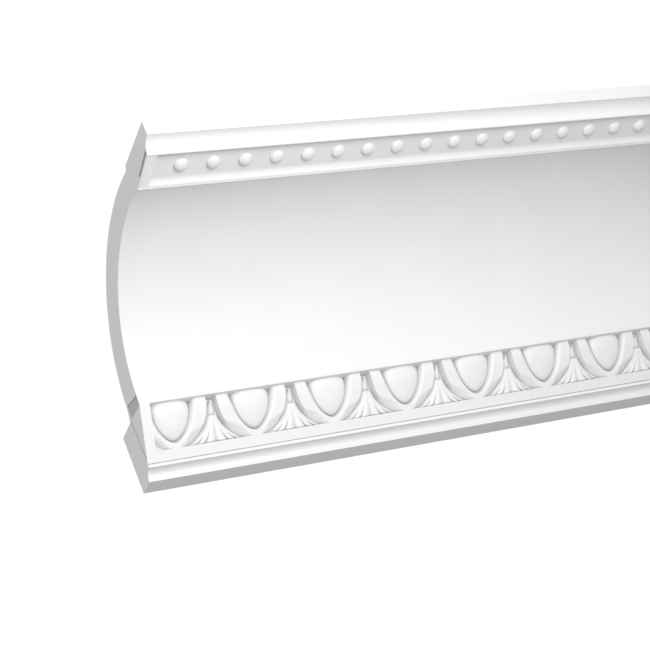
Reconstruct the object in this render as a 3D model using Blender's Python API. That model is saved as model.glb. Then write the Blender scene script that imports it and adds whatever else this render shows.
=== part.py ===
"""Cornice moulding length with a row of beads, a large cove and an egg-and-dart band.

One cast piece. Metres, +Z up. The wall is the plane Y = 0 and the moulding
stands out from it towards -Y; it runs along X and is cut square at both ends.
The origin is the middle of the face that lies against the wall.
"""

import math

import bmesh
import bpy
from mathutils import Vector

# Overall sizes
HEIGHT = 0.150
PROJECTION = 0.1855

# Crown, from the ceiling down
CEILING_CONTACT = 0.0403
CEILING_CHAMFER = 0.0025
FASCIA_HEIGHT = 0.0102
CROWN_COVE_WIDTH = 0.0092
CROWN_COVE_DROP = 0.0077
SOFFIT_WIDTH = 0.0290
SOFFIT_FALL = 0.0040

# Foot, from the wall out
FOOT_HEIGHT = 0.0420
FOOT_TOP_WIDTH = 0.0184
PANEL_TOP_OUT = 0.0418
PANEL_BOTTOM_OUT = 0.0215
PANEL_BOTTOM_UP = 0.0089
QUIRK_DEPTH = 0.0008
QUIRK_WIDTH = 0.0006
FILLET_BACK = 0.0003
FILLET_HEIGHT = 0.0020
TOE_OUT = 0.0140
TOE_HEIGHT = 0.0026
TOE_SPLAY = 0.0010

# Shell behind the cove
SHELL_WALL = 0.0184
SHELL_SHIFT = 0.0022
SHELL_START_UP = 0.0080

# Bead channel in the soffit
BEAD_STRIP = 0.0070
CHANNEL_FRONT_LEDGE = 0.0015
CHANNEL_BACK_LEDGE = 0.0021
CHANNEL_BACK_SLOPE = 0.0046
CHANNEL_FRONT_DEPTH = 0.0033
CHANNEL_BACK_DEPTH = 0.0027
LEDGE_ROUND = 0.0004
LIP_SKEW = 2.2
BEAD_PITCH = 0.0220
BEAD_FIRST = 0.0261
BEAD_RADIUS = 0.0048
BEAD_RISE = 0.0031
BEAD_ACROSS = 0.0136
BEAD_SIDES = 12
BEAD_RINGS = (1.0, 0.86, 0.5)

# Egg-and-dart band in the sloping panel
EGG_COUNT = 8
EGG_PITCH = 0.0574
EGG_FIRST = 0.0211
EGG_STRIP = 0.0070
RECESS_TOP = 0.0010
RECESS_DROP = 0.0308
EGG_SPINE_LENGTH = 0.0120
EGG_TOP_DEPTH = 0.0021
EGG_CREST_DEPTH = 0.0004
CREST_DOWN = 0.0110
GROOVE_TOP_DEPTH = 0.0072
GROOVE_MIDDLE_DEPTH = 0.0034
GROOVE_FOOT_DEPTH = 0.0046
GROOVE_WIDTH = 0.0003
GROOVE_FOOT = 0.0004
HUSK_TOP_WIDTH = 0.0109
HUSK_FOOT_WIDTH = 0.0036
HUSK_GAP = 0.0076
HUSK_RUN_ON = 0.0026
HUSK_TOP_DEPTH = 0.0020
HUSK_CREST_DEPTH = 0.0003
FACET_FALL = 0.0028
HUSK_WALL_RUN_TOP = 0.0013
HUSK_WALL_RUN_FOOT = 0.0021
GROUND_TOP_DEPTH = 0.0066
GROUND_FOOT_DEPTH = 0.0040

# Dart between two eggs: a bud above, a fluted skirt below
BUD_TOP_DOWN = 0.0031
BUD_BOTTOM_DOWN = 0.0137
BUD_HALF_WIDTH = 0.0029
BUD_CREST_DEPTH = 0.0035
BUD_FOOT_RUN = 0.0014
SKIRT_TOP_DOWN = 0.0141
SKIRT_TOP_DEPTH = 0.0028
SKIRT_FOOT_DEPTH = 0.0005
SKIRT_EDGE_FALL = 0.0026
SKIRT_END_RUN = 0.0009
SKIRT_END_FALL = 0.0007
SKIRT_LOBES = 3
FLUTE_DEPTH = 0.0022

# Exponents of the curved outlines (x/w)^p + (s/d)^q = 1, and of the egg's dome
EGG_ROUNDNESS = (1.6, 2.1)
HUSK_ROUNDNESS = (1.5, 2.5)
EGG_DOME = 2.8
# Turn of the U, 0 at its top and 1 at its foot, by which the groove has come up from its deep top
GROOVE_TURN = 0.38
# Share of the husk's width over which it rises from the groove, at its top and foot, and how fast
HUSK_RIDGE = (0.45, 0.25)
HUSK_RISE = 3.0
# Facet on the lower outer side of the husk: its turns, its share of the width and its roundness
FACET_TURNS = (0.36, 0.88)
FACET_REACH = 0.64
FACET_POWER = 1.3
# How early the ground beside the dart comes up
GROUND_POWER = 0.8
# Part of a sine wave that is the bud's outline, and what is left of the bud's height at its foot
BUD_START = 0.03
BUD_SPAN = 0.62
BUD_FOOT_LIFT = 0.6
# Spread of the skirt's lobes towards its sides, their fall there, where down the skirt the middle
# and the outermost flute begin, and how narrow the flutes are
LOBE_SPREAD = 1.3
EDGE_POWER = 4.0
FLUTE_STARTS = (0.20, 0.85)
FLUTE_POWER = 0.45

# The husks share out the pitch; each husk's curve would run on below the sill
HUSK_HALF_WIDTH = 0.5 * (EGG_PITCH - HUSK_GAP)
HUSK_LENGTH = RECESS_DROP + HUSK_RUN_ON
EGG_HALF_WIDTH = HUSK_HALF_WIDTH - HUSK_TOP_WIDTH - GROOVE_WIDTH
EGG_LENGTH = RECESS_DROP - HUSK_FOOT_WIDTH - GROOVE_FOOT

# How finely the curves are divided
COVE_STEPS = 18
SHELL_STEPS = 16
SMALL_COVE_STEPS = 5
LEDGE_STEPS = 3
SLOPE_STEPS = 4
BUD_STEPS = 4
BUD_FOOT_STEPS = 1
SKIRT_STEPS = 4
SKIRT_END_STEPS = 1
FOOT_STEPS = 3
EGG_LEVELS = (0.0, 0.36, 0.68, 0.9, 1.0)
HUSK_LEVELS = (0.0, 0.26, 0.54, 0.8, 1.0)
DART_ACROSS = (1.0, 0.87, 0.73, 0.59, 0.43, 0.25, 0.0)
SHARP_ANGLE = math.radians(38.0)

LENGTH = 2.0 * EGG_FIRST + (EGG_COUNT - 1) * EGG_PITCH
BEAD_COUNT = int((LENGTH - BEAD_FIRST - BEAD_STRIP - BEAD_RADIUS) / BEAD_PITCH) + 1
ORIGIN_UP = 0.5 * FOOT_HEIGHT


def arc(centre, radius, start, end, steps):
    """Points of a circular arc in the section, ends included; angles in radians."""
    points = []
    for i in range(steps + 1):
        angle = start + (end - start) * i / steps
        points.append((centre[0] + radius * math.cos(angle), centre[1] + radius * math.sin(angle)))
    return points


def hollow_quarter(start, end, steps):
    """A concave quarter of an ellipse from start in and down to end."""
    width = start[0] - end[0]
    drop = start[1] - end[1]
    points = []
    for i in range(steps + 1):
        angle = 0.5 * math.pi * (1.0 + i / steps)
        points.append((start[0] + width * math.cos(angle), end[1] + drop * math.sin(angle)))
    return points


# Named corners of the section as (out from the wall, up from the underside)
SOFFIT_FRONT = (PROJECTION - CROWN_COVE_WIDTH, HEIGHT - FASCIA_HEIGHT - CROWN_COVE_DROP)
COVE_LIP = (SOFFIT_FRONT[0] - SOFFIT_WIDTH, SOFFIT_FRONT[1] - SOFFIT_FALL)
PANEL_TOP = (PANEL_TOP_OUT, FOOT_HEIGHT)
PANEL_BOTTOM = (PANEL_BOTTOM_OUT, PANEL_BOTTOM_UP)

# The cove leaves the panel upright and passes through the lip
COVE_RUN = COVE_LIP[0] - PANEL_TOP[0]
COVE_RISE = COVE_LIP[1] - PANEL_TOP[1]
COVE_RADIUS = (COVE_RUN ** 2 + COVE_RISE ** 2) / (2.0 * COVE_RUN)
COVE_CENTRE = (PANEL_TOP[0] + COVE_RADIUS, PANEL_TOP[1])

SOFFIT_SLOPE = SOFFIT_FALL / SOFFIT_WIDTH
PANEL_LENGTH = math.dist(PANEL_TOP, PANEL_BOTTOM)
PANEL_RUN = PANEL_BOTTOM[0] - PANEL_TOP[0]
PANEL_RISE = PANEL_BOTTOM[1] - PANEL_TOP[1]
PANEL_DOWN = (PANEL_RUN / PANEL_LENGTH, PANEL_RISE / PANEL_LENGTH)
PANEL_NORMAL = (-PANEL_DOWN[1], PANEL_DOWN[0])
# Sideways lean of the relief that makes the top of the recess level
LEVEL_LEAN = -PANEL_NORMAL[1] / PANEL_DOWN[1]


def soffit_point(inward, depth):
    """A point under the soffit: distance in from its front edge, and depth up into it."""
    return (SOFFIT_FRONT[0] - inward, SOFFIT_FRONT[1] - inward * SOFFIT_SLOPE + depth)


def panel_point(down):
    """A point of the sloping panel at a distance down from its top."""
    return (PANEL_TOP[0] + down * PANEL_DOWN[0], PANEL_TOP[1] + down * PANEL_DOWN[1])


def relief_point(down, height):
    """A point of the relief: distance down from the top of its recess, and height off the panel.

    Close to the top the height is measured level instead of square to the panel,
    so that the upper side of the recess is a level soffit.
    """
    out, up = panel_point(RECESS_TOP + down)
    lean = LEVEL_LEAN * max(0.0, 1.0 - down / CREST_DOWN) ** 2
    out += height * (PANEL_NORMAL[0] + lean * PANEL_DOWN[0])
    up += height * (PANEL_NORMAL[1] + lean * PANEL_DOWN[1])
    return (out, up)


CHANNEL_FRONT = soffit_point(CHANNEL_FRONT_LEDGE, 0.0)
CHANNEL_FLOOR_FRONT = soffit_point(CHANNEL_FRONT_LEDGE, CHANNEL_FRONT_DEPTH)
CHANNEL_FLOOR_BACK = soffit_point(SOFFIT_WIDTH - CHANNEL_BACK_LEDGE - CHANNEL_BACK_SLOPE, CHANNEL_BACK_DEPTH)
CHANNEL_BACK = soffit_point(SOFFIT_WIDTH - CHANNEL_BACK_LEDGE, 0.0)


def rounded_ledge(start, end, skew):
    """Section points of a narrow ledge that bulges down, in its middle or past it for a skew over 1."""
    points = []
    for i in range(LEDGE_STEPS + 1):
        share = i / LEDGE_STEPS
        drop = LEDGE_ROUND * math.sin(math.pi * share ** skew)
        points.append((mix(start[0], end[0], share), mix(start[1], end[1], share) - drop))
    return points


def channel_slope():
    """Section points of the hollow slope from the channel's floor to its back edge."""
    points = []
    for i in range(SLOPE_STEPS + 1):
        share = i / SLOPE_STEPS
        inward = SOFFIT_WIDTH - CHANNEL_BACK_LEDGE - CHANNEL_BACK_SLOPE * (1.0 - share)
        points.append(soffit_point(inward, CHANNEL_BACK_DEPTH * (1.0 - share ** 2)))
    return points


def foot_section():
    """Section points from the panel's foot round the underside to the wall."""
    quirk_top = (PANEL_BOTTOM[0] - QUIRK_DEPTH, PANEL_BOTTOM[1])
    quirk_bottom = (quirk_top[0], quirk_top[1] - QUIRK_WIDTH)
    fillet_top = (PANEL_BOTTOM[0] - FILLET_BACK, quirk_bottom[1])
    fillet_bottom = (fillet_top[0], fillet_top[1] - FILLET_HEIGHT)
    toe_top = (TOE_OUT + TOE_SPLAY, TOE_HEIGHT)
    cavetto = hollow_quarter(fillet_bottom, toe_top, SMALL_COVE_STEPS)
    return [quirk_top, quirk_bottom, fillet_top] + cavetto + [(TOE_OUT, 0.0), (0.0, 0.0)]


def back_section():
    """Section points up the hollow back, from the wall to the ceiling."""
    centre = (COVE_CENTRE[0] - SHELL_SHIFT, COVE_CENTRE[1])
    radius = COVE_RADIUS + SHELL_WALL
    ceiling_back = PROJECTION - CEILING_CONTACT
    start = math.pi - math.asin(SHELL_START_UP / radius)
    end = math.acos((ceiling_back - CEILING_CHAMFER - centre[0]) / radius)
    shell = arc(centre, radius, start, end, SHELL_STEPS)
    return [(0.0, FOOT_HEIGHT), (FOOT_TOP_WIDTH, FOOT_HEIGHT)] + shell + [(ceiling_back, HEIGHT)]


def crown_section():
    """Section points from the ceiling down the fascia to the front of the soffit."""
    fascia_bottom = (PROJECTION, HEIGHT - FASCIA_HEIGHT)
    return [(PROJECTION, HEIGHT)] + hollow_quarter(fascia_bottom, SOFFIT_FRONT, SMALL_COVE_STEPS)


def cove_section():
    """Section points of the large cove, from the lip down to the panel."""
    lip_angle = math.atan2(COVE_LIP[1] - COVE_CENTRE[1], COVE_LIP[0] - COVE_CENTRE[0])
    return arc(COVE_CENTRE, COVE_RADIUS, lip_angle, math.pi, COVE_STEPS)


def smooth_step(value):
    """0 below 0, 1 above 1 and an even S between."""
    value = min(1.0, max(0.0, value))
    return value * value * (3.0 - 2.0 * value)


def mix(low, high, share):
    return low + (high - low) * share


def u_curve(half_width, depth, roundness, turn):
    """(sideways, down) on one half of a U-shaped curve; turn runs 0 at its top to 1 at its foot."""
    reach = math.sin(0.5 * math.pi * turn)
    side = max(0.0, 1.0 - reach ** roundness[1]) if turn < 1.0 else 0.0
    return (half_width * side ** (1.0 / roundness[0]), depth * reach)


def turn_at(down):
    """The turn at which the husk's outer edge has come a distance down the recess."""
    return math.asin(down / HUSK_LENGTH) / (0.5 * math.pi)


def turns_between(marks, steps):
    """Turns from the first mark to the last, with a number of steps between each two."""
    found = [marks[0]]
    for start, end, count in zip(marks, marks[1:], steps):
        found += [mix(start, end, (i + 1) / count) for i in range(count)]
    return found


# Rows beside the bud, its foot, the gap below it, the skirt and its end, then those under the husk
DART_DOWNS = (BUD_BOTTOM_DOWN - BUD_FOOT_RUN, BUD_BOTTOM_DOWN, SKIRT_TOP_DOWN, RECESS_DROP - SKIRT_END_RUN)
DART_MARKS = [0.0] + [turn_at(down) for down in (*DART_DOWNS, RECESS_DROP)]
DART_TURNS = turns_between(DART_MARKS, (BUD_STEPS, BUD_FOOT_STEPS, 1, SKIRT_STEPS, SKIRT_END_STEPS))
TURNS = DART_TURNS + turns_between([DART_MARKS[-1], 1.0], (FOOT_STEPS,))[1:]


def swell(down):
    """0 at the top of the recess, rising to 1 where the relief reaches its crest."""
    return 1.0 - max(0.0, 1.0 - down / CREST_DOWN) ** 2


def groove_depth(turn):
    """Depth of the groove between egg and husk, least beside the middle of the egg."""
    top = (GROOVE_TOP_DEPTH - GROOVE_MIDDLE_DEPTH) * max(0.0, 1.0 - turn / GROOVE_TURN) ** 2
    past = (turn - GROOVE_TURN) / (1.0 - GROOVE_TURN)
    foot = (GROOVE_FOOT_DEPTH - GROOVE_MIDDLE_DEPTH) * smooth_step(past)
    return GROOVE_MIDDLE_DEPTH + top + foot


def egg_point(level, turn):
    """(sideways, down, height) on the egg; level 0 is its spine and 1 its rim."""
    depth = mix(EGG_SPINE_LENGTH, EGG_LENGTH, level)
    side, down = u_curve(EGG_HALF_WIDTH * level, depth, EGG_ROUNDNESS, turn)
    crest = -mix(EGG_TOP_DEPTH, EGG_CREST_DEPTH, swell(down))
    dome = math.sqrt(max(0.0, 1.0 - level ** EGG_DOME))
    return (side, down, mix(-groove_depth(turn), crest, dome))


def husk_point(level, turn):
    """(sideways, down, height) on the husk; level 0 is at the groove and 1 is the outer edge."""
    inner = u_curve(EGG_HALF_WIDTH + GROOVE_WIDTH, EGG_LENGTH + GROOVE_FOOT, EGG_ROUNDNESS, turn)
    outer = u_curve(HUSK_HALF_WIDTH, HUSK_LENGTH, HUSK_ROUNDNESS, turn)
    side = mix(inner[0], outer[0], level)
    down = mix(inner[1], min(RECESS_DROP, outer[1]), level)
    crest = -mix(HUSK_TOP_DEPTH, HUSK_CREST_DEPTH, swell(down))
    share = min(1.0, max(0.0, (turn - FACET_TURNS[0]) / (FACET_TURNS[1] - FACET_TURNS[0])))
    start = 1.0 - FACET_REACH * math.sin(math.pi * share)
    fall = FACET_FALL * (max(0.0, level - start) / FACET_REACH) ** FACET_POWER
    ridge = mix(HUSK_RIDGE[0], HUSK_RIDGE[1], turn)
    rise = 1.0 - max(0.0, 1.0 - level / ridge) ** HUSK_RISE
    return (side, down, mix(-groove_depth(turn), crest, rise) - fall)


def ground_depth(down):
    """Depth of the ground beside the dart."""
    return mix(GROUND_TOP_DEPTH, GROUND_FOOT_DEPTH, (down / RECESS_DROP) ** GROUND_POWER)


def bud_half_width(down):
    """Half width of the tear-shaped bud at a distance down the recess."""
    share = (down - BUD_TOP_DOWN) / (BUD_BOTTOM_DOWN - BUD_TOP_DOWN)
    return BUD_HALF_WIDTH * math.sin(math.pi * (BUD_START + BUD_SPAN * min(1.0, max(0.0, share))))


def bud_height(down, across):
    """Height of the bud; across runs 0 in its middle to 1 at its side."""
    lift = smooth_step((down - BUD_TOP_DOWN + 0.5 * BUD_HALF_WIDTH) / BUD_HALF_WIDTH)
    lift *= mix(BUD_FOOT_LIFT, 1.0, smooth_step((BUD_BOTTOM_DOWN - down) / BUD_FOOT_RUN))
    return mix(-ground_depth(down), -BUD_CREST_DEPTH, lift * (1.0 - across ** 2))


def skirt_height(down, across):
    """Height of the fluted skirt; across runs 0 in its middle to 1 at its side."""
    share = max(0.0, down - SKIRT_TOP_DOWN) / (RECESS_DROP - SKIRT_TOP_DOWN)
    crest = -mix(SKIRT_TOP_DEPTH, SKIRT_FOOT_DEPTH, share) - SKIRT_EDGE_FALL * across ** EDGE_POWER
    end = SKIRT_END_FALL * max(0.0, 1.0 - (RECESS_DROP - down) / SKIRT_END_RUN) ** 2
    lobe = abs(math.sin(math.pi * SKIRT_LOBES * across ** LOBE_SPREAD))
    start = mix(FLUTE_STARTS[0], FLUTE_STARTS[1], across)
    growth = max(0.0, share - start) / (1.0 - start)
    return crest - end - FLUTE_DEPTH * growth * (1.0 - lobe ** FLUTE_POWER)


def dart_row(turn):
    """Half a row of the dart bay as (sideways from the dart, down, height), outer edge first."""
    side, down, crest = husk_point(1.0, turn)
    share = smooth_step(down / RECESS_DROP)
    gap = 0.5 * EGG_PITCH - side
    foot = gap - mix(HUSK_WALL_RUN_TOP, HUSK_WALL_RUN_FOOT, share)
    ground = -ground_depth(down)
    bud = down < 0.5 * (BUD_BOTTOM_DOWN + SKIRT_TOP_DOWN)
    dart = bud_half_width(down) if bud else foot
    row = [(gap, down, crest), (foot, down, ground), (dart, down, ground)]
    for across in DART_ACROSS:
        height = bud_height(down, across) if bud else skirt_height(down, across)
        row.append((dart * across, down, max(ground, height)))
    return row


def plain_row(turn):
    """Half a row of an end bay, which has no dart: level from the husk's outer edge."""
    side, down, crest = husk_point(1.0, turn)
    return [(0.5 * EGG_PITCH - side, down, crest), (0.0, down, crest)]


class Builder:
    """Faces on shared corners, so that the patches close into one body."""

    def __init__(self):
        self.mesh = bmesh.new()
        self.corners = {}

    def corner(self, along, section):
        """The vertex at a distance along the moulding and a point of its section."""
        place = (along - 0.5 * LENGTH, -section[0], section[1] - ORIGIN_UP)
        key = tuple(round(value * 1e7) for value in place)
        if key not in self.corners:
            self.corners[key] = self.mesh.verts.new(place)
        return self.corners[key]

    def face(self, corners):
        """A face on the given vertices, leaving out repeats."""
        loop = []
        for vertex in corners:
            if not loop or vertex is not loop[-1]:
                loop.append(vertex)
        while len(loop) > 1 and loop[0] is loop[-1]:
            loop.pop()
        if len(loop) > 2 and len(set(loop)) == len(loop):
            self.mesh.faces.new(loop)

    def strip(self, start, end, start_stops=(), end_stops=()):
        """A full-length face between two section points, with extra stops on either edge."""
        near = [self.corner(x, start) for x in (0.0, *start_stops, LENGTH)]
        far = [self.corner(x, end) for x in (0.0, *end_stops, LENGTH)]
        self.face(near + far[::-1])

    def run(self, section):
        """Full-length faces along a list of section points."""
        for start, end in zip(section, section[1:]):
            self.strip(start, end)


def egg_places():
    """Distances of the egg centres along the moulding."""
    return [EGG_FIRST + i * EGG_PITCH for i in range(EGG_COUNT)]


def relief_grid(builder, centre, side, rows):
    """Vertices of relief points that stand on one side of a centre along the moulding."""
    grid = []
    for row in rows:
        vertices = [builder.corner(centre + side * x, relief_point(down, height)) for x, down, height in row]
        grid.append(vertices)
    return grid


def add_grid(builder, centre, rows):
    """Both mirrored halves of a patch of relief."""
    for side in (-1.0, 1.0):
        grid = relief_grid(builder, centre, side, rows)
        for near, far in zip(grid, grid[1:]):
            for i in range(len(near) - 1):
                builder.face([near[i], near[i + 1], far[i + 1], far[i]])


def add_egg_and_husk(builder, centre):
    """The nested U-shaped faces of one egg and its husk."""
    rows = [[egg_point(level, turn) for turn in TURNS] for level in EGG_LEVELS]
    rows += [[husk_point(level, turn) for turn in TURNS] for level in HUSK_LEVELS]
    add_grid(builder, centre, rows)


def trim_relief(builder, along, keep_right):
    """Cut the relief off square at one end strip."""
    mesh = builder.mesh
    cut = along - 0.5 * LENGTH
    everything = list(mesh.verts) + list(mesh.edges) + list(mesh.faces)
    direction = (1.0, 0.0, 0.0) if keep_right else (-1.0, 0.0, 0.0)
    bmesh.ops.bisect_plane(
        mesh, geom=everything, dist=1e-7, plane_co=(cut, 0.0, 0.0), plane_no=direction, clear_inner=True
    )
    builder.corners = {}
    for vertex in mesh.verts:
        if abs(vertex.co.x - cut) < 1e-6:
            vertex.co.x = cut
        builder.corners[tuple(round(value * 1e7) for value in vertex.co)] = vertex


def boundary_line(builder, test):
    """Open-edge vertices of the relief that pass a test."""
    found = {vertex for edge in builder.mesh.edges if edge.is_boundary for vertex in edge.verts}
    return [vertex for vertex in found if test(vertex)]


def add_relief(builder):
    """The egg-and-dart relief, its recess walls and the flush face round it."""
    for centre in egg_places():
        add_egg_and_husk(builder, centre)
    for bay in range(EGG_COUNT + 1):
        row = dart_row if 0 < bay < EGG_COUNT else plain_row
        add_grid(builder, EGG_FIRST + (bay - 0.5) * EGG_PITCH, [row(turn) for turn in DART_TURNS])
    left = EGG_STRIP
    right = LENGTH - EGG_STRIP
    trim_relief(builder, left, True)
    trim_relief(builder, right, False)

    recess_top = panel_point(RECESS_TOP)
    sill = panel_point(RECESS_TOP + RECESS_DROP)
    top_up = recess_top[1] - ORIGIN_UP
    sill_line = Vector((-sill[0], sill[1] - ORIGIN_UP))
    along_panel = Vector((-PANEL_DOWN[0], PANEL_DOWN[1]))

    def on_top(vertex):
        return abs(vertex.co.z - top_up) < 1e-6

    def on_sill(vertex):
        return abs((vertex.co.yz - sill_line).dot(along_panel)) < 1e-6

    def by_length(vertex):
        return vertex.co.x

    def by_depth(vertex):
        return (vertex.co.yz - sill_line).dot(along_panel)

    top = sorted(boundary_line(builder, on_top), key=by_length)
    foot = sorted(boundary_line(builder, on_sill), key=by_length)
    stops = [left] + [EGG_FIRST + (i + 0.5) * EGG_PITCH for i in range(EGG_COUNT - 1)] + [right]

    for place in (left, right):
        cut = place - 0.5 * LENGTH
        wall = sorted(boundary_line(builder, lambda vertex: abs(vertex.co.x - cut) < 1e-6), key=by_depth)
        builder.face([builder.corner(place, recess_top)] + wall + [builder.corner(place, sill)])

    for start, end in zip(stops, stops[1:]):
        low = start - 0.5 * LENGTH - 1e-6
        high = end - 0.5 * LENGTH + 1e-6
        for line, section in ((top, recess_top), (foot, sill)):
            inner = [vertex for vertex in line if low <= vertex.co.x <= high]
            builder.face(inner + [builder.corner(end, section), builder.corner(start, section)])

    for start, end in ((0.0, left), (right, LENGTH)):
        corners = [(start, recess_top), (end, recess_top), (end, sill), (start, sill)]
        builder.face([builder.corner(along, section) for along, section in corners])
    builder.strip(PANEL_TOP, recess_top, (), stops)
    builder.strip(sill, PANEL_BOTTOM, stops)


def bead_places():
    """Distances of the bead centres along the moulding."""
    return [BEAD_FIRST + i * BEAD_PITCH for i in range(BEAD_COUNT)]


def channel_point(share, depth_off):
    """A point over the channel's floor: share 0 at its front to 1 at its back."""
    out = mix(CHANNEL_FLOOR_FRONT[0], CHANNEL_FLOOR_BACK[0], share)
    up = mix(CHANNEL_FLOOR_FRONT[1], CHANNEL_FLOOR_BACK[1], share)
    return (out, up - depth_off)


def add_bead(builder, centre, share, floor_width):
    """One domed bead and the part of the floor round it."""
    rings = []
    for reach in BEAD_RINGS:
        rise = BEAD_RISE * math.sqrt(max(0.0, 1.0 - reach ** 2))
        ring = []
        for i in range(BEAD_SIDES):
            angle = 2.0 * math.pi * (i + 0.5) / BEAD_SIDES
            across = share + BEAD_RADIUS * reach * math.sin(angle) / floor_width
            along = centre + BEAD_RADIUS * reach * math.cos(angle)
            ring.append(builder.corner(along, channel_point(across, rise)))
        rings.append(ring)
    apex = builder.corner(centre, channel_point(share, BEAD_RISE))
    for outer, inner in zip(rings, rings[1:]):
        for i in range(BEAD_SIDES):
            j = (i + 1) % BEAD_SIDES
            builder.face([outer[i], outer[j], inner[j], inner[i]])
    for i in range(BEAD_SIDES):
        builder.face([rings[-1][i], rings[-1][(i + 1) % BEAD_SIDES], apex])

    half = 0.5 * BEAD_PITCH
    quarter = BEAD_SIDES // 4
    corners = []
    for along, side in ((half, 1.0), (-half, 1.0), (-half, 0.0), (half, 0.0)):
        place = min(max(centre + along, BEAD_STRIP), LENGTH - BEAD_STRIP)
        corners.append(builder.corner(place, channel_point(side, 0.0)))
    first = BEAD_SIDES // 8
    for side in range(4):
        near = [rings[0][(first + side * quarter + i) % BEAD_SIDES] for i in range(quarter + 1)]
        builder.face(near + [corners[(side + 1) % 4], corners[side]])


def add_bead_channel(builder):
    """The sunk channel in the soffit with its row of beads; gives the soffit's section points."""
    left = BEAD_STRIP
    right = LENGTH - BEAD_STRIP
    floor_width = math.dist(CHANNEL_FLOOR_FRONT, CHANNEL_FLOOR_BACK)
    share = (BEAD_ACROSS - CHANNEL_FRONT_LEDGE) / floor_width
    places = bead_places()
    stops = [left]
    for centre in places:
        add_bead(builder, centre, share, floor_width)
        stops += [centre - 0.5 * BEAD_PITCH, centre + 0.5 * BEAD_PITCH]
    stops.append(right)
    stops = sorted({round(min(max(stop, left), right), 9) for stop in stops})
    for start, end in ((left, places[0] - 0.5 * BEAD_PITCH), (places[-1] + 0.5 * BEAD_PITCH, right)):
        if end - start > 1e-6:
            corners = [(start, 0.0), (end, 0.0), (end, 1.0), (start, 1.0)]
            builder.face([builder.corner(along, channel_point(side, 0.0)) for along, side in corners])
    slope = channel_slope()
    for edge, floor in ((CHANNEL_FRONT, CHANNEL_FLOOR_FRONT), (slope[1], slope[0])):
        near = [builder.corner(left, edge), builder.corner(right, edge)]
        far = [builder.corner(stop, floor) for stop in stops]
        builder.face(near + far[::-1])
    for start, end in zip(slope[1:], slope[2:]):
        corners = [(left, start), (right, start), (right, end), (left, end)]
        builder.face([builder.corner(along, section) for along, section in corners])
    for place in (left, right):
        section = [CHANNEL_FRONT, CHANNEL_FLOOR_FRONT] + slope
        builder.face([builder.corner(place, point) for point in section])
    for start, end in ((0.0, left), (right, LENGTH)):
        corners = [(start, CHANNEL_FRONT), (end, CHANNEL_FRONT), (end, CHANNEL_BACK), (start, CHANNEL_BACK)]
        builder.face([builder.corner(along, section) for along, section in corners])
    front = rounded_ledge(SOFFIT_FRONT, CHANNEL_FRONT, 1.0)
    back = rounded_ledge(CHANNEL_BACK, COVE_LIP, LIP_SKEW)
    builder.run(front[:-1])
    builder.strip(front[-2], front[-1], (), (left, right))
    builder.strip(back[0], back[1], (left, right), ())
    builder.run(back[1:])
    return front + back


def add_ends(builder, section):
    """The square-cut end faces."""
    for along in (0.0, LENGTH):
        builder.face([builder.corner(along, point) for point in section])


def build_moulding():
    """The whole moulding as one closed mesh."""
    builder = Builder()
    add_relief(builder)
    soffit = add_bead_channel(builder)
    crown = crown_section()
    cove = cove_section()
    foot = foot_section()
    back = back_section()
    builder.run(crown)
    builder.run(cove[:-1] + [PANEL_TOP])
    builder.run([PANEL_BOTTOM] + foot)
    builder.run([foot[-1]] + back + [crown[0]])
    panel = [PANEL_TOP, panel_point(RECESS_TOP), panel_point(RECESS_TOP + RECESS_DROP), PANEL_BOTTOM]
    section = crown[:-1] + soffit + cove[1:-1] + panel + foot + back
    add_ends(builder, section)
    bmesh.ops.recalc_face_normals(builder.mesh, faces=builder.mesh.faces)
    mesh = bpy.data.meshes.new("cornice_moulding")
    builder.mesh.to_mesh(mesh)
    builder.mesh.free()
    mesh.shade_smooth()
    mesh.set_sharp_from_angle(angle=SHARP_ANGLE)
    return mesh


def white_finish():
    """Smooth factory-primed white."""
    material = bpy.data.materials.new("primed_white")
    material.use_nodes = True
    shader = material.node_tree.nodes["Principled BSDF"]
    shader.inputs["Base Color"].default_value = (0.82, 0.82, 0.817, 1.0)
    shader.inputs["Roughness"].default_value = 0.55
    shader.inputs["Metallic"].default_value = 0.0
    return material


def main():
    for item in list(bpy.data.objects):
        bpy.data.objects.remove(item)
    moulding = bpy.data.objects.new("cornice_moulding", build_moulding())
    moulding.data.materials.append(white_finish())
    bpy.context.scene.collection.objects.link(moulding)


main()
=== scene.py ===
"""Looks of the cornice moulding length: one cast white piece, its light and its camera."""

import math

import bmesh
import bpy
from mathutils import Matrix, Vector
from mathutils.geometry import tessellate_polygon


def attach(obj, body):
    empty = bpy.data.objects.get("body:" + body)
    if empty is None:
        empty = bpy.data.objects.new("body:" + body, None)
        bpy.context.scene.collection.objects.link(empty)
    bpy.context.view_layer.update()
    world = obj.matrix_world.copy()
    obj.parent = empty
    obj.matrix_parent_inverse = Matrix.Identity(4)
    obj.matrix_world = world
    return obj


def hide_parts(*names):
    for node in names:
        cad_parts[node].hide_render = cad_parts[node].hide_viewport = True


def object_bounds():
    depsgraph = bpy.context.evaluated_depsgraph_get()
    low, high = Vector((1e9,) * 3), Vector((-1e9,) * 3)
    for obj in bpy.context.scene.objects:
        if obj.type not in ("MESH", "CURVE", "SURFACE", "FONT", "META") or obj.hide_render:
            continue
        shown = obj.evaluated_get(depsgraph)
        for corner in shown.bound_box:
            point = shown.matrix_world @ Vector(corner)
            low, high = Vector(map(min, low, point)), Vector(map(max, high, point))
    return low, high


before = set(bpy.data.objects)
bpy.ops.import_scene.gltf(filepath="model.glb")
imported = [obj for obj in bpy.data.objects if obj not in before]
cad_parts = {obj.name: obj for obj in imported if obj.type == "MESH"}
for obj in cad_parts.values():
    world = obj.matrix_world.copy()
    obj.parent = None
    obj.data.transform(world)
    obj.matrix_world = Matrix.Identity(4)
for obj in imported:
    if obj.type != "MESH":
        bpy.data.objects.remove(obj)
CAD_LOW, CAD_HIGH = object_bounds()

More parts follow.
